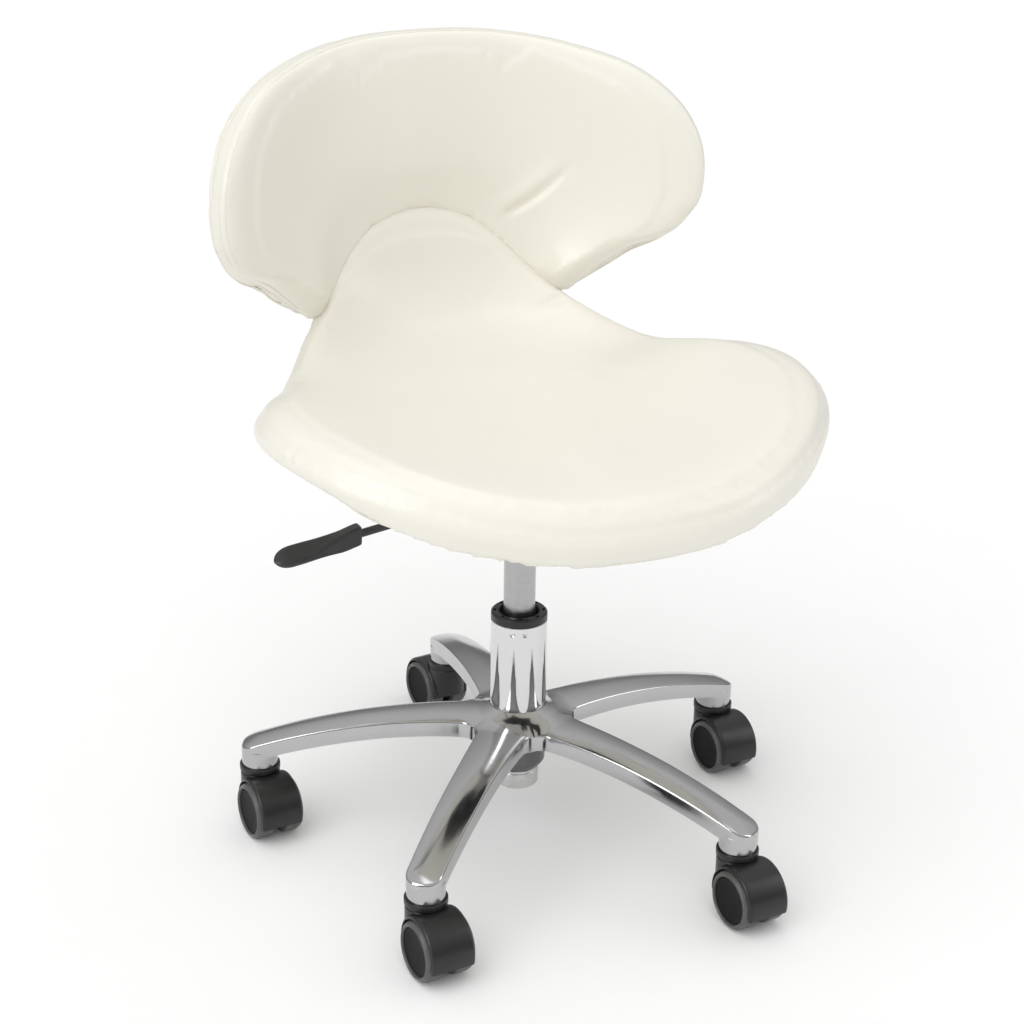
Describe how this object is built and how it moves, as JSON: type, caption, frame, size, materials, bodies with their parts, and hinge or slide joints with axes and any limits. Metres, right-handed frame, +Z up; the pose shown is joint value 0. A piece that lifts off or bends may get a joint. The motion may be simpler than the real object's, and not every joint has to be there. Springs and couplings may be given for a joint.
{
  "type": "rolling stylist stool",
  "caption": "Height-adjustable rolling stool with a saddle-like padded seat joined to a low wrap-around backrest, on a star base with twin-wheel casters.",
  "frame": {"origin": "on the floor under the middle of the stool's bounding box, 14 mm from the column's axis", "axes": "+Z up along the column; the seat's front edge faces -Y; -X is the sitter's right, where the lever is"},
  "size_m": [0.5009, 0.5395, 0.6893],
  "materials": {
    "star_base": "polished cast aluminium with satin sides",
    "column_tube": "mirror chrome",
    "bottom_cap": "satin zinc",
    "guide_bush": "black nylon",
    "gas_cylinder": "satin steel",
    "piston_rod": "ground steel",
    "thrust_bearing": "plain steel",
    "bumper_ring": "black rubber",
    "retaining_clip": "spring steel",
    "hood": "black satin nylon",
    "stem": "zinc plated",
    "axle": "zinc plated",
    "wheel_core": "black nylon",
    "tread": "grey polyurethane, smooth",
    "seat_cushion": "cream white vinyl upholstery over foam, satin",
    "back_cushion": "cream white vinyl upholstery over foam, satin",
    "seat_shell": "bent plywood",
    "under_cover": "cream vinyl",
    "back_cover": "cream white vinyl, satin",
    "mounting_plate": "black powder coat",
    "seat_bolt": "zinc plated",
    "lever_rod": "black paint",
    "lever_grip": "black moulded plastic",
    "lever_bush": "black nylon",
    "valve_pin": "plain steel"
  },
  "bodies": {
    "base": {"star_base": "star_base", "column_tube": "column_tube", "bottom_cap": "bottom_cap", "guide_bush": "guide_bush", "thrust_bearing": "thrust_bearing"},
    "spindle": {"piston_rod": "piston_rod", "retaining_clip": "retaining_clip", "bumper_ring": "bumper_ring"},
    "seat": {"gas_cylinder": "gas_cylinder", "mounting_plate": "mounting_plate", "seat_bolt_1": "seat_bolt", "seat_bolt_2": "seat_bolt", "seat_bolt_3": "seat_bolt", "seat_bolt_4": "seat_bolt", "lever_bush": "lever_bush", "seat_shell": "seat_shell", "seat_cushion": "seat_cushion", "back_cushion": "back_cushion", "under_cover": "under_cover", "back_cover": "back_cover"},
    "lever": {"lever_rod": "lever_rod", "lever_grip": "lever_grip"},
    "valve": {"valve_pin": "valve_pin"},
    "caster_1": {"hood_1": "hood", "stem_1": "stem", "axle_1": "axle"},
    "wheel_1_left": {"wheel_core_1_left": "wheel_core", "tread_1_left": "tread"},
    "wheel_1_right": {"wheel_core_1_right": "wheel_core", "tread_1_right": "tread"},
    "caster_2": {"hood_2": "hood", "stem_2": "stem", "axle_2": "axle"},
    "wheel_2_left": {"wheel_core_2_left": "wheel_core", "tread_2_left": "tread"},
    "wheel_2_right": {"wheel_core_2_right": "wheel_core", "tread_2_right": "tread"},
    "caster_3": {"hood_3": "hood", "stem_3": "stem", "axle_3": "axle"},
    "wheel_3_left": {"wheel_core_3_left": "wheel_core", "tread_3_left": "tread"},
    "wheel_3_right": {"wheel_core_3_right": "wheel_core", "tread_3_right": "tread"},
    "caster_4": {"hood_4": "hood", "stem_4": "stem", "axle_4": "axle"},
    "wheel_4_left": {"wheel_core_4_left": "wheel_core", "tread_4_left": "tread"},
    "wheel_4_right": {"wheel_core_4_right": "wheel_core", "tread_4_right": "tread"},
    "caster_5": {"hood_5": "hood", "stem_5": "stem", "axle_5": "axle"},
    "wheel_5_left": {"wheel_core_5_left": "wheel_core", "tread_5_left": "tread"},
    "wheel_5_right": {"wheel_core_5_right": "wheel_core", "tread_5_right": "tread"}
  },
  "joints": [
    {"name": "seat_swivel", "type": "hinge", "parent": "base", "child": "spindle", "pos_m": [-0.004, -0.0135, 0.1], "axis": [0, 0, 1], "continuous": true},
    {"name": "seat_lift", "type": "slide", "parent": "spindle", "child": "seat", "axis": [0, 0, 1], "range_m": [-0.07, 0.03]},
    {"name": "lever_pull", "type": "hinge", "parent": "seat", "child": "lever", "pos_m": [-0.051, -0.0135, 0.32709], "axis": [0, 1, 0], "range_deg": [0, 5], "stiffness_Nm_per_rad": 1.5},
    {"name": "valve_press", "type": "slide", "parent": "seat", "child": "valve", "axis": [0, 0, 1], "range_m": [-0.0045, 0]},
    {"name": "caster_1_swivel", "type": "hinge", "parent": "base", "child": "caster_1", "pos_m": [0.10807, -0.21778, 0.06], "axis": [0, 0, 1], "continuous": true},
    {"name": "wheel_1_left_roll", "type": "hinge", "parent": "caster_1", "child": "wheel_1_left", "pos_m": [0.1098, -0.2384, 0.0256], "axis": [0.9965, 0.0837, 0], "continuous": true},
    {"name": "wheel_1_right_roll", "type": "hinge", "parent": "caster_1", "child": "wheel_1_right", "pos_m": [0.1098, -0.2384, 0.0256], "axis": [0.9965, 0.0837, 0], "continuous": true},
    {"name": "caster_2_swivel", "type": "hinge", "parent": "base", "child": "caster_2", "pos_m": [0.22491, 0.02996, 0.06], "axis": [0, 0, 1], "continuous": true},
    {"name": "wheel_2_left_roll", "type": "hinge", "parent": "caster_2", "child": "wheel_2_left", "pos_m": [0.22664, 0.00933, 0.0256], "axis": [0.9965, 0.0837, 0], "continuous": true},
    {"name": "wheel_2_right_roll", "type": "hinge", "parent": "caster_2", "child": "wheel_2_right", "pos_m": [0.22664, 0.00933, 0.0256], "axis": [0.9965, 0.0837, 0], "continuous": true},
    {"name": "caster_3_swivel", "type": "hinge", "parent": "base", "child": "caster_3", "pos_m": [0.0254, 0.21764, 0.06], "axis": [0, 0, 1], "continuous": true},
    {"name": "wheel_3_left_roll", "type": "hinge", "parent": "caster_3", "child": "wheel_3_left", "pos_m": [0.02288, 0.23818, 0.0256], "axis": [-0.9925, -0.1219, 0], "continuous": true},
    {"name": "wheel_3_right_roll", "type": "hinge", "parent": "caster_3", "child": "wheel_3_right", "pos_m": [0.02288, 0.23818, 0.0256], "axis": [-0.9925, -0.1219, 0], "continuous": true},
    {"name": "caster_4_swivel", "type": "hinge", "parent": "base", "child": "caster_4", "pos_m": [-0.21474, 0.08589, 0.06], "axis": [0, 0, 1], "continuous": true},
    {"name": "wheel_4_left_roll", "type": "hinge", "parent": "caster_4", "child": "wheel_4_left", "pos_m": [-0.21301, 0.06526, 0.0256], "axis": [0.9965, 0.0837, 0], "continuous": true},
    {"name": "wheel_4_right_roll", "type": "hinge", "parent": "caster_4", "child": "wheel_4_right", "pos_m": [-0.21301, 0.06526, 0.0256], "axis": [0.9965, 0.0837, 0], "continuous": true},
    {"name": "caster_5_swivel", "type": "hinge", "parent": "base", "child": "caster_5", "pos_m": [-0.16365, -0.18321, 0.06], "axis": [0, 0, 1], "continuous": true},
    {"name": "wheel_5_left_roll", "type": "hinge", "parent": "caster_5", "child": "wheel_5_left", "pos_m": [-0.16192, -0.20384, 0.0256], "axis": [0.9965, 0.0837, 0], "continuous": true},
    {"name": "wheel_5_right_roll", "type": "hinge", "parent": "caster_5", "child": "wheel_5_right", "pos_m": [-0.16192, -0.20384, 0.0256], "axis": [0.9965, 0.0837, 0], "continuous": true}
  ],
  "couplings": [
    {"joint": "valve_press", "follows": "lever_pull", "m_per_rad": -0.047}
  ]
}
